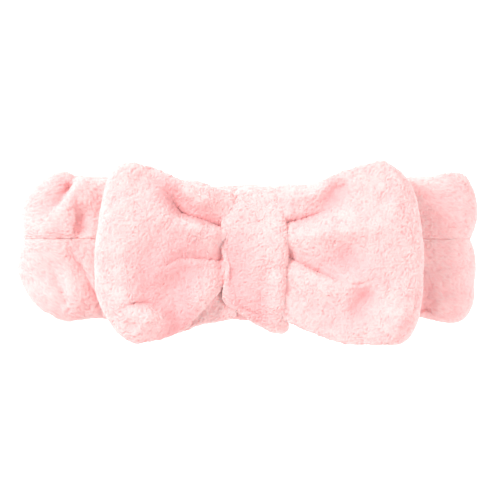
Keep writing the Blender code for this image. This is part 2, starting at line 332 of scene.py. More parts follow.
# A lobe's round sides by the crease and by the tube's edge, as shares of its width, and the part of the way
# across on which it is at its full height.
CREASE_SHARE = 0.24
EDGE_SHARE = 0.30
FULL_FROM, FULL_TO = 0.30, 0.62

# The two end folds are a little squarer than half circles, where 1 is round. The tube's edges change from the
# back half's to the front half's in the lowest part of the folds, this share of their height.
FOLD_SQUARENESS = 0.8
EDGE_CHANGE_SHARE = 0.35

# The waist is where the knot squeezes the front half: how far it reaches, how thick and how high the cloth is
# there, and how far its two edges are drawn in.
WAIST_REACH, WAIST_RUN = 0.013, 0.017
WAIST_HALF = 0.0060
WAIST_Z = 0.0405
WAIST_UPPER_EDGE, WAIST_LOWER_EDGE = 0.0050, 0.0020

# The slow swell of the tube and the small gathers along its stitching: how wide one is, and how high.
SWELL_SIZE, SWELL = 0.024, 0.0034
GATHER_SIZE, GATHER = 0.0075, 0.0030
GATHER_REACH = 0.009
EDGE_GATHER = 0.6

# How high the stitched crease stands, as a share of half the tube, from the gathered left end to the right.
CREASE_HEIGHTS = [(-0.114, 0.70), (-0.080, 0.74), (0.080, 0.80), (0.114, 0.84)]

# Where the band's front is gathered: (left width, right width, line of x, y and depth). Its left end has
# sharp folds with soft hollows and ridges between them, and its right end only soft ones.
BAND_FOLDS = [
    (0.0026, 0.0095, [(-0.0845, 0.0400, 0.0052), (-0.0882, 0.0330, 0.0050), (-0.0950, 0.0235, 0.0012)]),
    (0.0034, 0.0050, [(-0.0975, -0.0060, 0.0010), (-0.0940, -0.0150, 0.0032), (-0.0900, -0.0245, 0.0026)]),
    (0.0030, 0.0060, [(-0.0872, 0.0010, 0.0010), (-0.0815, -0.0080, 0.0028), (-0.0755, -0.0200, 0.0028),
                      (-0.0720, -0.0300, 0.0018)]),
]
BAND_HOLLOWS = [
    (0.0036, 0.0036, [(-0.0810, 0.0250, 0.0006), (-0.0815, 0.0180, 0.0036), (-0.0812, 0.0095, 0.0032)]),
    (0.0045, 0.0045, [(-0.0785, 0.0360, -0.0013), (-0.0795, 0.0260, -0.0013)]),
    (0.0090, 0.0020, [(-0.0960, 0.0225, 0.0014), (-0.0900, 0.0320, 0.0034), (-0.0865, 0.0390, 0.0034)]),
    (0.0032, 0.0032, [(-0.0815, 0.0370, -0.0014), (-0.0880, 0.0250, -0.0014)]),
    (0.0050, 0.0050, [(-0.1060, -0.0100, -0.0010), (-0.1010, -0.0200, -0.0010)]),
    (0.0045, 0.0045, [(-0.0880, -0.0120, -0.0012), (-0.0840, -0.0220, -0.0014)]),
    (0.0050, 0.0050, [(0.1110, -0.0163, 0.0016), (0.1030, -0.0205, 0.0006)]),
    (0.0090, 0.0090, [(0.1020, 0.0280, 0.0014), (0.0980, 0.0180, 0.0008)]),
    (0.0045, 0.0050, [(0.0860, -0.0120, 0.0010), (0.0865, -0.0330, 0.0046)]),
]


def squared(wave, power):
    """A sine or cosine with its corners filled out, so that a circle becomes a rounded square."""
    return np.sign(wave) * np.abs(wave) ** power


def lobe_face(k, floor):
    """A lobe's outline as shares of its width and height, from the stitched crease at 0 to the edge at 1."""
    rising = np.clip(k / FULL_FROM, 0, 1) * math.pi / 2
    falling = np.clip((1 - k) / (1 - FULL_TO), 0, 1) * math.pi / 2
    across = np.clip((k - FULL_FROM) / (FULL_TO - FULL_FROM), 0, 1)
    middle = CREASE_SHARE + (1 - EDGE_SHARE - CREASE_SHARE) * across
    share = np.where(k < FULL_FROM, CREASE_SHARE * (1 - np.cos(rising)), middle)
    share = np.where(k > FULL_TO, 1 - EDGE_SHARE + EDGE_SHARE * np.cos(falling), share)
    height = np.where(k < FULL_FROM, floor + (1 - floor) * np.sin(rising), 1.0)
    return share, np.where(k > FULL_TO, np.sin(falling), height)


def place_band(u, v):
    """u runs round the loop from the middle of the back half, and v round the tube from its outer crease."""
    turn = math.pi * TURN_RADIUS
    lap = 4 * STRAIGHT_HALF + 2 * turn
    s = u * lap
    right_turn = np.clip((s - STRAIGHT_HALF) / TURN_RADIUS, 0, math.pi)
    left_turn = np.clip((s - 3 * STRAIGHT_HALF - turn) / TURN_RADIUS, 0, math.pi)
    angle = right_turn + left_turn
    x = np.interp(
        s,
        [0, STRAIGHT_HALF, STRAIGHT_HALF + turn, 3 * STRAIGHT_HALF + turn, 3 * STRAIGHT_HALF + 2 * turn, lap],
        [0, STRAIGHT_HALF, STRAIGHT_HALF, -STRAIGHT_HALF, -STRAIGHT_HALF, 0],
    )
    out_x = squared(np.sin(angle), FOLD_SQUARENESS)
    out_z = -squared(np.cos(angle), FOLD_SQUARENESS)

    quarter = np.floor(np.clip(v, 0, 0.999999) * 4)
    within = v * 4 - quarter
    k = np.where((quarter == 0) | (quarter == 2), within, 1 - within)
    upper = quarter < 2
    side = np.where((quarter == 0) | (quarter == 3), 1, -1)
    share, height = lobe_face(k, read(CREASE_HEIGHTS, x))

    # The front half is squeezed and lifted where the knot holds it.
    away = np.abs(x - KNOT_MID_X)
    squeezed = (1 - smooth((away - WAIST_REACH) / WAIST_RUN)) * (out_z > 0.5)
    half = TUBE_HALF + squeezed * (WAIST_HALF - TUBE_HALF)
    lift = squeezed * (WAIST_Z - (BAND_TOP_Z - TUBE_HALF))
    far = TURN_RADIUS + side * height * half
    px = x + out_x * far
    pz = BAND_MID_Z + out_z * far + lift

    front = smooth((out_z + 1) / 2 / EDGE_CHANGE_SHARE)
    high = front * read(FRONT_UPPER, px) + (1 - front) * read(BACK_UPPER, px) - squeezed * WAIST_UPPER_EDGE
    low = front * read(FRONT_LOWER, px) + (1 - front) * read(BACK_LOWER, px) + squeezed * WAIST_LOWER_EDGE
    y = STITCH_Y + share * (np.where(upper, high, low) - STITCH_Y)
    px -= np.clip(out_x, 0, 1) * read(RIGHT_DRAWN_IN, y)

    # Small gathers along the stitching, and a slow swell of the whole tube.
    round_loop = u * 2 * math.pi
    ring = lap / (2 * math.pi)
    rows = np.stack([ring * np.cos(round_loop), ring * np.sin(round_loop), y * 0.25 + side * 0.02], axis=1)
    swell = ripple(np.stack([px, y, pz], axis=1), SWELL_SIZE) * SWELL
    pull = ripple(rows, GATHER_SIZE) * GATHER * np.exp(-np.abs(y - STITCH_Y) / GATHER_REACH)
    grown = (swell + pull) * np.where(k > FULL_TO, height, 1)
    px += side * out_x * grown
    pz += side * out_z * grown
    y += np.where(upper, 1, -1) * np.where(k > FULL_TO, 1 - height, 0) * (swell + EDGE_GATHER * pull)
    return np.stack([px, y, pz], axis=1)


def keep_modified(made):
    """Keeps what the piece's modifiers make as its mesh."""
    bpy.context.view_layer.update()
    result = bpy.data.meshes.new_from_object(made.evaluated_get(bpy.context.evaluated_depsgraph_get()))
    old = made.data
    made.modifiers.clear()
    made.data = result
    bpy.data.meshes.remove(old)


def even_out(made, spacing):
    """Gives the piece a mesh of even squares of about that size."""
    squares = made.modifiers.new("squares", "REMESH")
    squares.mode = "VOXEL"
    squares.voxel_size = spacing
    keep_modified(made)


def refine(made, levels):
    finer = made.modifiers.new("finer", "SUBSURF")
    finer.levels = finer.render_levels = levels
    keep_modified(made)


def points_of(made):
    """The piece's points and their normals."""
    count = len(made.data.vertices)
    co, normals = np.empty(count * 3, np.float32), np.empty(count * 3, np.float32)
    made.data.vertices.foreach_get("co", co)
    made.data.vertex_normals.foreach_get("vector", normals)
    return co.reshape(-1, 3).astype(float), normals.reshape(-1, 3).astype(float)


def put_points(made, co):
    made.data.vertices.foreach_set("co", co.astype(np.float32).ravel())
    made.data.update()


# The pile's depth and the share of it that lies inside the cloth's surface, and the sizes of its curled
# tufts, of the fuzz on them and of the clumps that they form.
PILE_DEPTH = 0.0009
PILE_SUNK_SHARE = 0.6
TUFT = 0.0013
TUFT_SHARPNESS = 3.2
CURL_SIZE, CURL = 0.0035, 0.0024
FUZZ_SIZE, CLUMP_SIZE = 0.0010, 0.0055
# How deep a fold is where its painted shade is at full strength.
FULL_SHADE_DEPTH = 0.0048


def raise_pile(made, pushed=None):
    """Lifts the surface into curled tufts, and keeps as attributes their height and the painted shade given
    by how far folds sink.
    """
    co, normals = points_of(made)
    shifts = ((0, 0, 0), (0.3, 0, 0), (0, 0.3, 0))
    bent = co + np.stack([ripple(co + shift, CURL_SIZE) for shift in shifts], axis=1) * CURL
    tufts = 1 - np.abs(ripple(bent, TUFT)) * TUFT_SHARPNESS
    height = 0.60 * tufts + 0.45 * ripple(co, FUZZ_SIZE) + 0.5 * ripple(co, CLUMP_SIZE) + 0.30
    height = np.clip(height, 0, 1)
    put_points(made, co + normals * ((height - PILE_SUNK_SHARE) * PILE_DEPTH)[:, None])
    painted_shade = np.zeros(len(co)) if pushed is None else np.clip(pushed / FULL_SHADE_DEPTH, 0, 1)
    for name, values in (("pile", height), ("painted_shade", painted_shade)):
        kept = made.data.attributes.new(name, "FLOAT", "POINT")
        kept.data.foreach_set("value", values.astype(np.float32))
    made.data.shade_smooth()


def puff(made, held, pressure, cap):
    """Lets the cloth settle as if filled, with the held points fixed and no point moving past the cap."""
    before, _ = points_of(made)
    pins = made.vertex_groups.new(name="held")
    pins.add([int(i) for i in np.flatnonzero(held(before))], 1, "REPLACE")
    settle = made.modifiers.new("settle", "CLOTH")
    settle.settings.quality = 6
    settle.settings.mass = 0.02
    settle.settings.tension_stiffness = 8
    settle.settings.compression_stiffness = 8
    settle.settings.shear_stiffness = 3
    settle.settings.bending_stiffness = 0.05
    settle.settings.air_damping = 2
    settle.settings.use_pressure = True
    settle.settings.uniform_pressure_force = pressure
    settle.settings.vertex_group_mass = "held"
    settle.settings.effector_weights.gravity = 0
    settle.collision_settings.use_collision = False
    for step in range(1, 21):
        bpy.context.scene.frame_set(step)
    keep_modified(made)
    bpy.context.scene.frame_set(1)
    after, _ = points_of(made)
    move = after - before
    length = np.linalg.norm(move, axis=1)
    print(made.name, "settled by up to", round(float(length.max()) * 1000, 2), "mm, mean",
          round(float(length.mean()) * 1000, 2))
    move *= np.minimum(1, cap / np.maximum(length, 1e-9))[:, None]
    put_points(made, before + move)
    made.vertex_groups.clear()


# What the stitching and the knot hold still while the cloth settles, and how far from the stitching the folds
# reach their full depth.
STITCH_HALF = 0.0006
GRIP_HALF = 0.016
CREASE_CLEAR = 0.0035

# Folds sink only where the front faces up: how high above the loop's middle they start, and how soon they
# reach their full depth as the cloth turns to face up.
FOLDS_FROM = 0.004
FACING_GAIN = 1.3

# Painted shadow where the bow and the knot shade the band's lower edge: its strength as a share of the
# fullest fold shade, the middle of the place, its half width, and the height below which the shadow is
# painted, with its fade.
KNOT_SHADOW_STRENGTH = 1.2
KNOT_SHADOW_X, KNOT_SHADOW_HALF = -0.003, 0.014
KNOT_SHADOW_Y, KNOT_SHADOW_FADE = -0.0265, 0.003

tube = grid_piece("band", 208, 92, place_band, True)


def band_held(co):
    near_crease = np.abs(co[:, 1] - STITCH_Y) < STITCH_HALF
    in_knot = (np.abs(co[:, 0] - KNOT_MID_X) < GRIP_HALF) & (co[:, 2] > BAND_MID_Z)
    return near_crease | in_knot


puff(tube, band_held, pressure=4, cap=0.003)
refine(tube, 2)
co, normals = points_of(tube)
facing = np.clip(normals[:, 2] * FACING_GAIN, 0, 1) * (co[:, 2] > BAND_MID_Z + FOLDS_FROM)
pushed = folds(co[:, 0], co[:, 1], BAND_FOLDS) + hollows(co[:, 0], co[:, 1], BAND_HOLLOWS)
pushed *= facing * smooth(np.abs(co[:, 1] - STITCH_Y) / CREASE_CLEAR)
put_points(tube, co - normals * pushed[:, None])
# Painted shadow on the band's lower edge below the knot, added to the painted fold shade in its colour.
knot_shadow = np.exp(-(((co[:, 0] - KNOT_SHADOW_X) / KNOT_SHADOW_HALF) ** 2)) * smooth((KNOT_SHADOW_Y - co[:, 1]) / KNOT_SHADOW_FADE)
raise_pile(tube, pushed + FULL_SHADE_DEPTH * KNOT_SHADOW_STRENGTH * knot_shadow)

# The tube is cut into stretches, with the cuts under the bow, at the seam inside the knot, and in the middle
# of the back half.
CUT_X = 0.062
SEAM_GAP = 0.0002


def band_stretch(name, low_x, high_x, front, nodes):
    shape = bmesh.new()
    shape.from_mesh(tube.data)
    for x, side in ((low_x, -1), (high_x, 1)):
        if x is None:
            continue
        geometry = shape.verts[:] + shape.edges[:] + shape.faces[:]
        bmesh.ops.bisect_plane(
            shape, geom=geometry, plane_co=(x, 0, 0), plane_no=(side, 0, 0), clear_outer=True
        )
    if front is not None:
        extra = [v for v in shape.verts if (v.co.z > BAND_MID_Z) != front]
        bmesh.ops.delete(shape, geom=extra, context="VERTS")
    ends = [e for e in shape.edges if e.is_boundary]
    for e in ends:
        e.smooth = False
    bmesh.ops.holes_fill(shape, edges=ends, sides=0)
    for v in shape.verts:
        v.co.z = max(v.co.z, 0)
    mesh = bpy.data.meshes.new(name)
    shape.to_mesh(mesh)
    shape.free()
    mesh.shade_smooth()
    mesh.materials.append(fleece)
    made = bpy.data.objects.new(name, mesh)
    bpy.context.scene.collection.objects.link(made)
    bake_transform(made)
    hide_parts(*nodes)


band_stretch(
    "tube_back_left", -CUT_X, 0, False,
    ["band_back"],
)
band_stretch(
    "tube_back_right", 0, CUT_X, False,
    ["band_back"],
)
band_stretch(
    "tube_left_end", None, -CUT_X, None,
    ["band_left_back", "band_left_front"],
)
band_stretch(
    "tube_right_end", CUT_X, None, None,
    ["band_right_back", "band_right_front"],
)
band_stretch(
    "tube_front_left", -CUT_X, KNOT_MID_X - SEAM_GAP, True,
    ["band_front_left"],
)
band_stretch(
    "tube_front_right", KNOT_MID_X + SEAM_GAP, CUT_X, True,
    ["band_front_right"],
)
bpy.data.objects.remove(tube)

# ---- The elastic and the stitching ----
# A flat knitted elastic runs all round inside the tube, and a row of stitching through each face of the tube
# holds it there. The rows make the crease between the two lobes, and the elastic's pull makes the gathers.


def ribs_group():
    """The fine ribs of thread and knitting: a dye that is darker in their grooves, and their height."""
    made = bpy.data.node_groups.new("ribs", "ShaderNodeTree")
    for name, kind in (("Place", "Vector"), ("Scale", "Float"), ("Groove", "Color"), ("Ridge", "Color")):
        made.interface.new_socket(name, in_out="INPUT", socket_type="NodeSocket" + kind)
    for name, kind in (("Dye", "Color"), ("Height", "Float")):
        made.interface.new_socket(name, in_out="OUTPUT", socket_type="NodeSocket" + kind)
    nodes, links = made.nodes, made.links
    given, result = nodes.new("NodeGroupInput"), nodes.new("NodeGroupOutput")
    rib = nodes.new("ShaderNodeTexWave")
    rib.inputs["Distortion"].default_value = 1.5
    links.new(given.outputs["Place"], rib.inputs["Vector"])
    links.new(given.outputs["Scale"], rib.inputs["Scale"])
    dye = nodes.new("ShaderNodeMix")
    dye.data_type = "RGBA"
    links.new(rib.outputs["Fac"], dye.inputs["Factor"])
    links.new(given.outputs["Groove"], dye.inputs["A"])
    links.new(given.outputs["Ridge"], dye.inputs["B"])
    links.new(dye.outputs["Result"], result.inputs["Dye"])
    links.new(rib.outputs["Fac"], result.inputs["Height"])
    return made


ribs = ribs_group()
GROOVE_SHADE = 0.8


def ribbed_material(name, colour, roughness, scale):
    made = bpy.data.materials.new(name)
    made.use_nodes = True
    nodes, links = made.node_tree.nodes, made.node_tree.links
    shader = nodes["Principled BSDF"]
    shader.inputs["Roughness"].default_value = roughness
    rib = nodes.new("ShaderNodeGroup")
    rib.node_tree = ribs
    rib.inputs["Scale"].default_value = scale
    rib.inputs["Groove"].default_value = (*[c * GROOVE_SHADE for c in colour], 1)
    rib.inputs["Ridge"].default_value = (*colour, 1)
    links.new(nodes.new("ShaderNodeTexCoord").outputs["Object"], rib.inputs["Place"])
    links.new(rib.outputs["Dye"], shader.inputs["Base Color"])
    bump = nodes.new("ShaderNodeBump")
    bump.inputs["Distance"].default_value = 0.0002
    links.new(rib.outputs["Height"], bump.inputs["Height"])
    links.new(bump.outputs["Normal"], shader.inputs["Normal"])
    return made


def finish_nodes(word, finish):
    """Gives a material to every CAD node whose name starts with that word."""
    for name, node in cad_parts.items():
        if name.startswith(word):
            for entry in node.material_slots:
                entry.material = finish


webbing = ribbed_material("elastic_webbing", (0.90, 0.89, 0.87), 0.7, 600)
thread = ribbed_material("pink_thread", (0.88, 0.55, 0.55), 0.55, 900)
finish_nodes("elastic", webbing)
finish_nodes("stitches", thread)

# ---- The bow's loops ----
# A wide padded fleece ribbon, gathered in the middle and sewn back there, so that each side is a loop open at
# its upper and lower edges. The gathering throws pleats out from the knot over both walls.

BOW_BOTTOM_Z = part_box("bow_left_loop")[0].z
BOW_TOP_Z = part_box("bow_left_loop")[1].z
RIBBON_THICK = 0.0075
FOLD_HALF = (BOW_TOP_Z - BOW_BOTTOM_Z - RIBBON_THICK) / 2
# The gap between the walls at the neck and the height of its middle, as shares of those at the outer fold.
NECK_GAP = 0.12
NECK_RISE = 0.50
# Half the share of the ribbon's length that is the outer fold. Then how square the fold and the ribbon's own
# edges and faces are, where 1 is round and less is squarer.
FOLD_BEND_SHARE = 0.12
LOOP_SQUARENESS = 0.72
RIBBON_EDGE_SQUARENESS, RIBBON_FACE_SQUARENESS = 0.36, 0.62
# The pleats of the back wall, which reach this share of the way out, and the swell of both walls.
PLEAT_DEPTH, PLEATS, PLEAT_REACH = 0.0016, 9, 0.8
RIBBON_SWELL_SIZE, RIBBON_SWELL = 0.016, 0.0030
# No fold sinks past this share of the loop's height, and the painted shade in a fold reaches full strength a
# little before the fold is fully deep.
DEEPEST_SHARE = 0.8
LOOP_FOLD_SHADE = 1.2

# A fold or a hollow is (left width, right width, line of x, y and depth), and a negative depth is a swelling.
LEFT_LOOP = {
    "neck_x": -0.006,
    # The outer fold as (y, x) from its lower end to its upper end, then the walls' edges as (x, y).
    "end": [
        (-0.046, -0.052), (-0.0435, -0.0585), (-0.0392, -0.0644), (-0.0305, -0.0698), (-0.0227, -0.0736),
        (-0.012, -0.076), (0.0005, -0.0751), (0.016, -0.0727), (0.0286, -0.0710), (0.0365, -0.0692),
        (0.0420, -0.0668), (0.0450, -0.0625), (0.0470, -0.0550),
    ],
    "top": [
        (-0.0060, 0.0290), (-0.0131, 0.0318), (-0.0237, 0.0332), (-0.0305, 0.0350), (-0.0383, 0.0388),
        (-0.0460, 0.0422), (-0.0538, 0.0441), (-0.0760, 0.0445),
    ],
    "front_bottom": [
        (-0.0060, -0.0120), (-0.0121, -0.0164), (-0.0213, -0.0266), (-0.0320, -0.0382), (-0.0420, -0.0425),
        (-0.0520, -0.0442), (-0.0760, -0.0445),
    ],
    "back_bottom": [
        (-0.0060, -0.0310), (-0.0111, -0.0334), (-0.0228, -0.0353), (-0.0305, -0.0387), (-0.0421, -0.0421),
        (-0.0520, -0.0442), (-0.0760, -0.0445),
    ],
    "folds": [
        # The deep pleat from the top edge down to the knot.
        (0.0080, 0.0036, [(-0.0416, 0.0315, 0.0005), (-0.0383, 0.0277, 0.0026), (-0.0358, 0.0233, 0.0056),
                          (-0.0329, 0.0199, 0.0070), (-0.0286, 0.0180, 0.0066), (-0.0213, 0.0160, 0.0056),
                          (-0.0136, 0.0131, 0.0050)]),
        # The crease from the knot across the middle of the wall.
        (0.0030, 0.0110, [(-0.0150, -0.0035, 0.0028), (-0.0262, -0.0024, 0.0030), (-0.0344, -0.0024, 0.0024),
                          (-0.0400, -0.0060, 0.0010)]),
        # The tuck above the lower corner.
        (0.0040, 0.0045, [(-0.0600, -0.0256, 0.0004), (-0.0550, -0.0240, 0.0028), (-0.0490, -0.0236, 0.0032),
                          (-0.0435, -0.0256, 0.0014)]),
        # The fold along the slanting lower edge.
        (0.0050, 0.0018, [(-0.0120, -0.0172, 0.0024), (-0.0170, -0.0222, 0.0024), (-0.0220, -0.0280, 0.0024),
                          (-0.0280, -0.0345, 0.0022), (-0.0330, -0.0396, 0.0014)]),
    ],
    "hollows": [
        # The slope into the deep pleat, the puff above it and the ridge below it.
        (0.0060, 0.0070, [(-0.0440, 0.0330, 0.0024), (-0.0370, 0.0275, 0.0050), (-0.0320, 0.0215, 0.0052),
                          (-0.0250, 0.0200, 0.0026), (-0.0170, 0.0180, 0.0020)]),
        (0.0040, 0.0040, [(-0.0290, 0.0290, -0.0014), (-0.0170, 0.0255, -0.0018)]),
        (0.0045, 0.0045, [(-0.0160, 0.0085, -0.0044), (-0.0230, 0.0108, -0.0034), (-0.0300, 0.0135, -0.0022),
                          (-0.0407, 0.0180, -0.0012)]),
        # The lower part of the wall lies lower, below the crease, and the cloth slopes down to it.
        (0.0100, 0.0110, [(-0.0190, -0.0085, 0.0034), (-0.0300, -0.0105, 0.0058), (-0.0365, -0.0190, 0.0074),
                          (-0.0345, -0.0350, 0.0076)]),
        # A shallow dip across the middle of the wall, and the cloth drawn in beside the knot.
        (0.0080, 0.0080, [(-0.0280, 0.0065, 0.0016), (-0.0420, 0.0060, 0.0026), (-0.0500, -0.0060, 0.0032),
                          (-0.0500, -0.0160, 0.0026)]),
        (0.0022, 0.0022, [(-0.0137, 0.0130, 0.0010), (-0.0137, -0.0030, 0.0024), (-0.0130, -0.0150, 0.0014)]),
        # The swelling along the lower edge, the puffed lower corner and the dimple in it.
        (0.0050, 0.0100, [(-0.0150, -0.0130, -0.0020), (-0.0210, -0.0200, -0.0020),
                          (-0.0290, -0.0310, -0.0010)]),
        (0.0055, 0.0055, [(-0.0475, -0.0315, -0.0050), (-0.0440, -0.0325, -0.0050)]),
        (0.0022, 0.0022, [(-0.0572, -0.0344, 0.0016), (-0.0557, -0.0353, 0.0016)]),
    ],
}
RIGHT_LOOP = {
    "neck_x": 0.013,
    "end": [
        (-0.0460, 0.0735), (-0.0440, 0.0768), (-0.0421, 0.0785), (-0.0382, 0.0806), (-0.0305, 0.0828),
        (-0.0227, 0.0838), (-0.0111, 0.0848), (0.0005, 0.0853), (0.0180, 0.0834), (0.0286, 0.0814),
        (0.0344, 0.0790), (0.0403, 0.0741), (0.0436, 0.0700), (0.0452, 0.0660),
    ],
    "top": [
        (0.0130, 0.0335), (0.0194, 0.0338), (0.0276, 0.0342), (0.0315, 0.0349), (0.0354, 0.0364),
        (0.0431, 0.0398), (0.0509, 0.0422), (0.0586, 0.0440), (0.0664, 0.0450), (0.0860, 0.0452),
    ],
    "front_bottom": [
        (0.0130, -0.0315), (0.0194, -0.0340), (0.0266, -0.0376), (0.0344, -0.0410), (0.0412, -0.0433),
        (0.0460, -0.0445), (0.0540, -0.0449), (0.0860, -0.0450),
    ],
    "back_bottom": [
        (0.0130, -0.0300), (0.0194, -0.0325), (0.0266, -0.0350), (0.0344, -0.0380), (0.0412, -0.0405),
        (0.0460, -0.0430), (0.0540, -0.0440), (0.0860, -0.0443),
    ],
    "folds": [
        # The pleat from the knot up and out, then the crease from the knot down and out and its faint end.
        (0.0050, 0.0050, [(0.0189, 0.0151, 0.0036), (0.0247, 0.0163, 0.0036), (0.0315, 0.0185, 0.0030),
                          (0.0390, 0.0215, 0.0010)]),
        (0.0110, 0.0034, [(0.0189, -0.0019, 0.0030), (0.0247, -0.0048, 0.0044), (0.0335, -0.0092, 0.0050),
                          (0.0393, -0.0116, 0.0040), (0.0470, -0.0145, 0.0008)]),
        (0.0030, 0.0030, [(0.0470, -0.0145, 0.0004), (0.0528, -0.0150, 0.0014), (0.0587, -0.0130, 0.0004)]),
    ],
    "hollows": [
        # The puff above the pleat, and the slope into it.
        (0.0050, 0.0050, [(0.0228, 0.0270, -0.0022), (0.0310, 0.0280, -0.0022)]),
        (0.0048, 0.0055, [(0.0250, 0.0175, 0.0012), (0.0350, 0.0225, 0.0020), (0.0402, 0.0275, 0.0048),
                          (0.0425, 0.0300, 0.0048)]),
        # The cloth drawn in beside the knot.
        (0.0016, 0.0016, [(0.0190, 0.0150, 0.0012), (0.0200, -0.0020, 0.0004), (0.0190, -0.0310, 0.0008)]),
        # A shallow dip along the lower edge, and the ridge between the pleat and the crease.
        (0.0110, 0.0110, [(0.0270, -0.0240, 0.0010), (0.0420, -0.0320, 0.0018)]),
        (0.0050, 0.0050, [(0.0218, 0.0080, -0.0018), (0.0393, 0.0105, -0.0028), (0.0596, 0.0120, -0.0014)]),
        # The start of the crease, and the slope into it.
        (0.0030, 0.0030, [(0.0204, -0.0004, 0.0014), (0.0209, -0.0024, 0.0014)]),
        (0.0075, 0.0075, [(0.0340, -0.0060, 0.0014), (0.0460, -0.0030, 0.0046)]),
        # The puff by the lower corner, a shallow dip above it, the dimple, and the puff below the crease.
        (0.0080, 0.0080, [(0.0720, -0.0340, -0.0034), (0.0760, -0.0230, -0.0020)]),
        (0.0100, 0.0100, [(0.0560, -0.0060, 0.0010), (0.0640, -0.0140, 0.0016)]),
        (0.0050, 0.0055, [(0.0560, -0.0220, 0.0052), (0.0530, -0.0280, 0.0034)]),
        (0.0050, 0.0050, [(0.0247, -0.0105, -0.0020), (0.0368, -0.0165, -0.0020)]),
    ],
}


def loop_opening(along):
    """Half the gap between the walls, and its middle's height, from the neck at 0 to the outer fold at 1."""
    parted = 0.55 * along + 0.45 * smooth(along / 0.6)
    return (FOLD_HALF * (NECK_GAP + (1 - NECK_GAP) * parted),
            BOW_BOTTOM_Z + RIBBON_THICK / 2 + FOLD_HALF * (NECK_RISE + (1 - NECK_RISE) * parted))


def bow_placer(loop):
    side = 1 if loop["neck_x"] > 0 else -1
    neck = loop["neck_x"]
    end = max(abs(x) for _, x in loop["end"]) * side
    reach = abs(end - neck) - FOLD_HALF - RIBBON_THICK / 2

    def place(u, v):
        """u runs out along the front wall and back along the other, and v round the ribbon's thickness."""
        wall = 0.5 - FOLD_BEND_SHARE
        along = np.clip(np.where(u < 0.5, u, 1 - u) / wall, 0, 1)
        angle = np.clip((u - wall) / (2 * FOLD_BEND_SHARE), 0, 1) * math.pi
        out = squared(np.sin(angle), LOOP_SQUARENESS)
        up = squared(np.cos(angle), LOOP_SQUARENESS)
        half_gap, middle = loop_opening(along)

        a = v * 2 * math.pi
        across = squared(np.cos(a), RIBBON_EDGE_SQUARENESS)
        through = squared(np.sin(a), RIBBON_FACE_SQUARENESS)
        far = reach * along + out * (half_gap + RIBBON_THICK / 2 * through)
        z = middle + up * (half_gap + RIBBON_THICK / 2 * through)
        flat_x = neck + side * far
        front = smooth((up + 1) / 2)
        # The ribbon's edges depend on x and its length on y, so the two are found together in a few rounds.
        x = flat_x
        for _ in range(4):
            top = read(loop["top"], x)
            bottom = front * read(loop["front_bottom"], x) + (1 - front) * read(loop["back_bottom"], x)
            y = (top + bottom) / 2 + across * (top - bottom) / 2
            x = neck + (flat_x - neck) * (read(loop["end"], y) - neck) / (end - neck)

        # The back wall has pleats of its own, fanning out from the knot, and both walls swell a little.
        fan = np.arctan2(y, np.abs(x - neck) + 0.010)
        pleats = PLEAT_DEPTH * np.cos(fan * PLEATS + side) * (1 - smooth(along / PLEAT_REACH))
        pleats *= np.clip(-up * 1.6, 0, 1)
        swell = ripple(np.stack([x, y, z * 0.5], axis=1), RIBBON_SWELL_SIZE) * RIBBON_SWELL
        swell *= np.minimum(1, along * 2 + 0.3)
        return np.stack([x, y, np.maximum(z + up * (swell - pleats), BOW_BOTTOM_Z)], axis=1)

    return place


NECK_HELD = 0.008

for name, loop, body, node, start_x, end_x in (
    ("bow_loop_left", LEFT_LOOP, "bow_left", "bow_left_loop", -0.014, -0.034),
    ("bow_loop_right", RIGHT_LOOP, "bow_right", "bow_right_loop", 0.021, 0.041),
):
    ribbon = grid_piece(name, 72, 88, bow_placer(loop), False)
    even_out(ribbon, 0.0020)
    neck_x = loop["neck_x"]

    def neck_held(co):
        return np.abs(co[:, 0] - neck_x) < NECK_HELD

    puff(ribbon, neck_held, pressure=3, cap=0.002)
    refine(ribbon, 2)
    co, _ = points_of(ribbon)
    fold_x = max(abs(x) for _, x in loop["end"])
    wall_length = fold_x - abs(neck_x) - FOLD_HALF - RIBBON_THICK / 2
    half_gap, middle = loop_opening(np.clip(np.abs(co[:, 0] - neck_x) / wall_length, 0, 1))
    crown = middle + half_gap + RIBBON_THICK / 2 - BOW_BOTTOM_Z
    pushed = folds(co[:, 0], co[:, 1], loop["folds"]) + hollows(co[:, 0], co[:, 1], loop["hollows"])
    co[:, 2] = BOW_BOTTOM_Z + (co[:, 2] - BOW_BOTTOM_Z) * (1 - np.minimum(pushed / crown, DEEPEST_SHARE))
    put_points(ribbon, co)
    # Painted shade in the folds of the upper wall.
    raise_pile(ribbon, pushed * (co[:, 2] > middle) * LOOP_FOLD_SHADE)
    ribbon.data.materials.append(fleece)
    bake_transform(ribbon)
    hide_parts(node)

# ---- The bow's gathered middle ----
# The stretch of ribbon between the two loops, drawn together into tight pleats. It lies inside the knot, on
# the squeezed front of the band.

MIDDLE_LEFT, MIDDLE_RIGHT = -0.0138, 0.0165
MIDDLE_UPPER = [(-0.0138, 0.0200), (0.0000, 0.0270), (0.0165, 0.0290)]
MIDDLE_LOWER = [(-0.0138, -0.0235), (-0.0060, -0.0255), (0.0000, -0.0275), (0.0165, -0.0300)]
CORE_LOW, CORE_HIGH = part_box("bow_core")
MIDDLE_Z = (CORE_HIGH.z + CORE_LOW.z) / 2 - 0.0015
MIDDLE_HALF = (CORE_HIGH.z - CORE_LOW.z) / 2 - 0.0025
GATHERED_SQUARENESS = 0.6
TIGHT_PLEAT, TIGHT_PITCH = 0.0007, 0.0011


def place_middle(u, v):
    """u runs across from loop to loop, and v round the gathered cloth."""
    x = MIDDLE_LEFT + (MIDDLE_RIGHT - MIDDLE_LEFT) * u
    a = v * 2 * math.pi
    across = squared(np.cos(a), GATHERED_SQUARENESS)
    through = squared(np.sin(a), GATHERED_SQUARENESS)
    upper, lower = read(MIDDLE_UPPER, x), read(MIDDLE_LOWER, x)
    y = (upper + lower) / 2 + across * (upper - lower) / 2
    pleats = TIGHT_PLEAT * np.cos(y / TIGHT_PITCH + 3 * u)
    return np.stack([x, y, MIDDLE_Z + through * (MIDDLE_HALF + pleats)], axis=1)


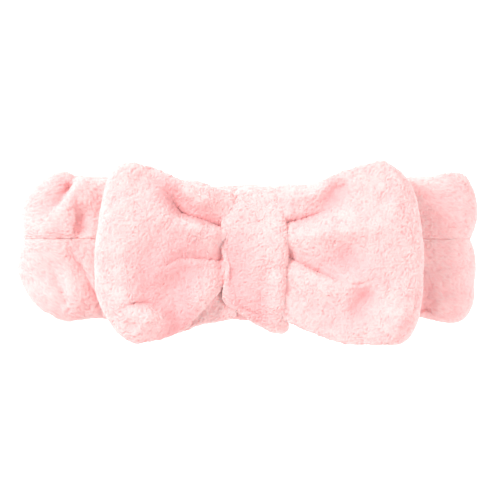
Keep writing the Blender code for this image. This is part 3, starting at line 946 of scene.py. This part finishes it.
gathers = grid_piece("bow_gathered_middle", 40, 90, place_middle, False)
refine(gathers, 1)
raise_pile(gathers)
gathers.data.materials.append(fleece)
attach(gathers, "front")
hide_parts("bow_core")

# ---- The thread round the gathered middle ----
# A few turns of thread, wound flat beside each other, that draw the middle together and hold it so under the
# knot.

TIE_LOW, TIE_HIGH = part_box("bow_gathering_tie")
TIE_THICK = 0.0010
TIE_CLEAR = 0.0002


def place_tie(u, v):
    """u runs round the gathered cloth, and v round the bundle of thread."""
    a, b = u * 2 * math.pi, v * 2 * math.pi
    across = squared(np.cos(a), GATHERED_SQUARENESS)
    through = squared(np.sin(a), GATHERED_SQUARENESS)
    mid_x = (TIE_LOW.x + TIE_HIGH.x) / 2
    upper, lower = read(MIDDLE_UPPER, mid_x), read(MIDDLE_LOWER, mid_x)
    out = TIE_THICK / 2 * np.sin(b)
    y = (upper + lower) / 2 + across * ((upper - lower) / 2 + out)
    z = MIDDLE_Z + through * (MIDDLE_HALF + TIE_CLEAR + out)
    return np.stack([mid_x + np.cos(b) * (TIE_HIGH.x - TIE_LOW.x) / 2, y, z], axis=1)


tie = grid_piece("gathering_thread", 120, 12, place_tie, True)
tie.data.shade_smooth()
tie.data.materials.append(thread)
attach(tie, "front")
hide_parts("bow_gathering_tie")

# ---- The knot ----
# A strip of the same fleece, folded to hide its raw edges, wrapped round the gathered middle of the bow and
# the front of the band, and sewn to itself inside the loop.

KNOT_PAD = 0.0056
KNOT_CROWN = 0.0010
WRAP_SQUARENESS = 0.74
STRIP_EDGE_SQUARENESS, STRIP_FACE_SQUARENESS = 0.4, 0.7
KNOT_LUMP_SIZE, KNOT_LUMP = 0.012, 0.0022
# Its folds sink only near its top, and shade is painted, stronger than on the loops, wherever it sinks.
KNOT_FOLDS_DOWN_TO = 0.008
KNOT_FACING_GAIN = 1.4
KNOT_SHADE_GAIN = 2.4
# The strip's two edges across the knot, as (y, x) from its lower end to its upper end.
KNOT_LEFT = [
    (-0.0400, 0.0080), (-0.0375, 0.0070), (-0.0350, 0.0040), (-0.0321, 0.0000), (-0.0282, -0.0080),
    (-0.0243, -0.0134), (-0.0164, -0.0130), (-0.0072, -0.0126), (0.0000, -0.0142), (0.0078, -0.0146),
    (0.0185, -0.0136), (0.0243, -0.0110), (0.0306, -0.0060), (0.0340, -0.0040),
]
KNOT_RIGHT = [
    (-0.0400, 0.0185), (-0.0363, 0.0192), (-0.0324, 0.0180), (-0.0242, 0.0178), (-0.0164, 0.0182),
    (-0.0072, 0.0192), (0.0000, 0.0196), (0.0078, 0.0192), (0.0185, 0.0184), (0.0243, 0.0176),
    (0.0306, 0.0164), (0.0340, 0.0155),
]
KNOT_FOLDS = [
    (0.0030, 0.0040, [(-0.0005, 0.0146, 0.0002), (0.0050, 0.0155, 0.0010), (0.0095, 0.0175, 0.0002)]),
]
KNOT_HOLLOWS = [
    (0.0110, 0.0070, [(-0.0120, 0.0120, 0.0006), (-0.0080, -0.0020, 0.0024), (-0.0060, -0.0160, 0.0026),
                      (-0.0010, -0.0320, 0.0030)]),
    (0.0034, 0.0034, [(0.0075, -0.0120, 0.0004), (0.0060, -0.0240, 0.0010), (0.0050, -0.0340, 0.0012)]),
    (0.0040, 0.0040, [(0.0150, 0.0200, -0.0010), (0.0155, 0.0000, -0.0014), (0.0150, -0.0260, -0.0014)]),
]


def place_knot(u, v):
    """u runs round the wrap, and v round the folded strip's own thickness."""
    a = u * 2 * math.pi
    round_y = squared(np.cos(a), WRAP_SQUARENESS)
    round_z = squared(np.sin(a), WRAP_SQUARENESS)
    mid_y = (KNOT_LOW.y + KNOT_HIGH.y) / 2
    mid_z = (KNOT_LOW.z + KNOT_HIGH.z) / 2
    half_y = (KNOT_HIGH.y - KNOT_LOW.y) / 2 + 0.001
    half_z = (KNOT_HIGH.z - KNOT_LOW.z) / 2

    b = v * 2 * math.pi
    across = squared(np.cos(b), STRIP_EDGE_SQUARENESS)
    through = squared(np.sin(b), STRIP_FACE_SQUARENESS)
    crown = KNOT_PAD / 2 * (through - 1) + np.where(through > 0, KNOT_CROWN * (1 - across**2), 0)

    y = mid_y + round_y * (half_y + crown)
    z = mid_z + round_z * (half_z + crown)
    left, right = read(KNOT_LEFT, y), read(KNOT_RIGHT, y)
    x = (left + right) / 2 + across * (right - left) / 2
    return np.stack([x, y, z], axis=1)


wrap = grid_piece("knot", 84, 44, place_knot, True)
even_out(wrap, 0.0016)


def wrap_held(co):
    return co[:, 2] < KNOT_LOW.z + 0.004


puff(wrap, wrap_held, pressure=2, cap=0.0015)
refine(wrap, 2)
co, normals = points_of(wrap)
pushed = folds(co[:, 0], co[:, 1], KNOT_FOLDS) + hollows(co[:, 0], co[:, 1], KNOT_HOLLOWS)
pushed *= np.clip(normals[:, 2] * KNOT_FACING_GAIN, 0, 1) * (co[:, 2] > KNOT_HIGH.z - KNOT_FOLDS_DOWN_TO)
put_points(wrap, co - normals * (pushed + ripple(co, KNOT_LUMP_SIZE) * KNOT_LUMP)[:, None])
# Painted shade where the knot sinks: its left side lies in the shadow of the left loop.
raise_pile(wrap, pushed * KNOT_SHADE_GAIN)
wrap.data.materials.append(fleece)
finish_nodes("knot_closing_stitches", thread)
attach(wrap, "front")
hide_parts("knot_wrap")

# ---- The seam that closes the band ----
# The tube's two ends sewn together into a fin of cloth, with the fleece's backing outwards. It is squeezed
# flat with the rest of the band inside the knot.

SEAM_LOW, SEAM_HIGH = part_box("closing_seam")
SEAM_HALF = 0.0260
SEAM_CLEAR = 0.0015


def place_seam(u, v):
    """u runs along the seam, and v round its own thickness."""
    a = v * 2 * math.pi
    y = STITCH_Y + (u * 2 - 1) * SEAM_HALF
    x = (SEAM_LOW.x + SEAM_HIGH.x) / 2 + np.cos(a) * (SEAM_HIGH.x - SEAM_LOW.x) / 2
    thick = (WAIST_HALF - SEAM_CLEAR) * np.sqrt(np.maximum(1 - (u * 2 - 1) ** 4, 0.05))
    return np.stack([x, y, WAIST_Z + np.sin(a) * thick], axis=1)


seam = grid_piece("closing_seam_fin", 60, 24, place_seam, False)
seam.data.shade_smooth()
seam.data.materials.append(ribbed_material("fleece_backing", (0.90, 0.56, 0.55), 0.95, 300))
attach(seam, "front")
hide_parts("closing_seam")
